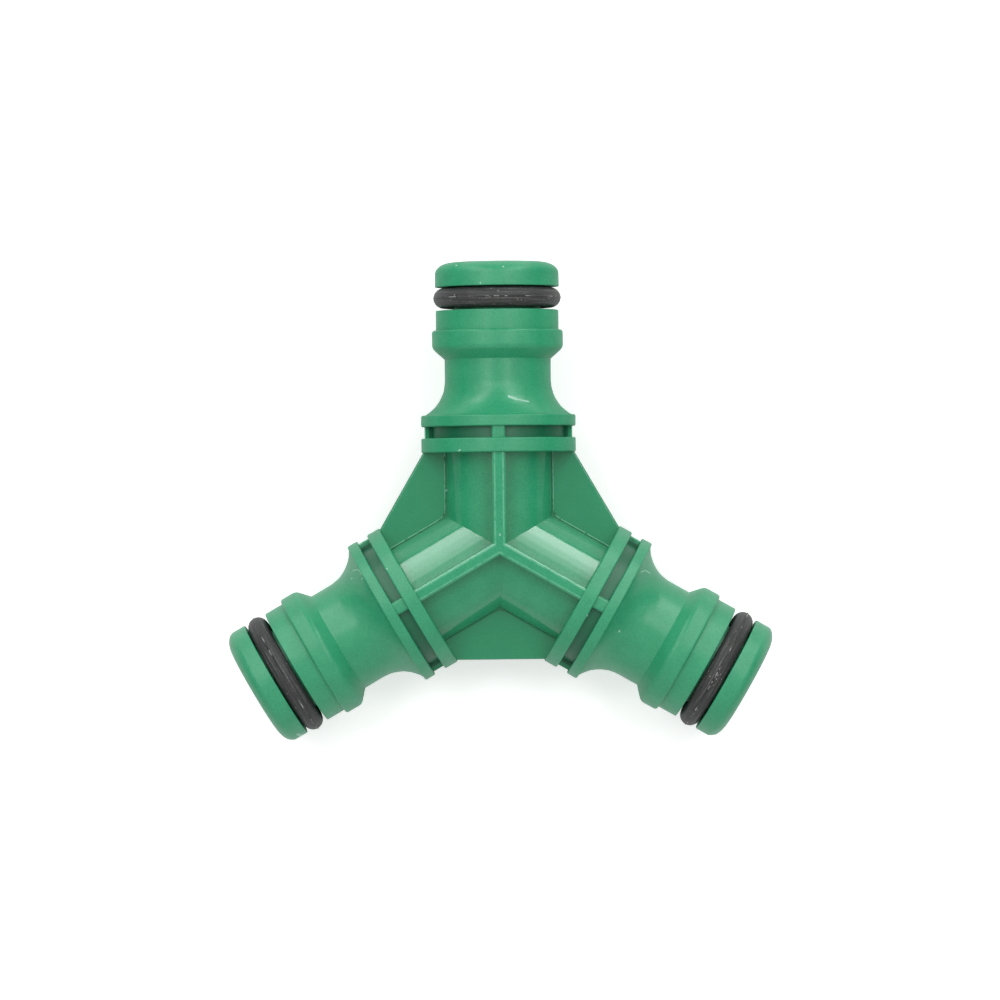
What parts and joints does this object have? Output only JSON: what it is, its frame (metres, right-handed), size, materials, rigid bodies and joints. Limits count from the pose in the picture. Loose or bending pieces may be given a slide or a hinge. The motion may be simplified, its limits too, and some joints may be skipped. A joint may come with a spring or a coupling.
{
  "type": "hose connector",
  "caption": "Y-shaped moulded hose connector with quick-connect spigots, latch collars, flanges and rubber sealing rings around open water passages that meet in the middle.",
  "frame": {"origin": "point where the arm axes meet, at the middle of the moulded body", "axes": "+Y along the top arm towards its mouth, +Z out of the plane of the Y, +X to the right of the top arm"},
  "size_m": [0.0702, 0.0615, 0.0198],
  "materials": {
    "green_plastic": "satin",
    "black_rubber": "matte"
  },
  "bodies": {
    "root": {"connector_body": "green_plastic", "o_ring_top": "black_rubber", "o_ring_left": "black_rubber", "o_ring_right": "black_rubber"}
  },
  "joints": []
}
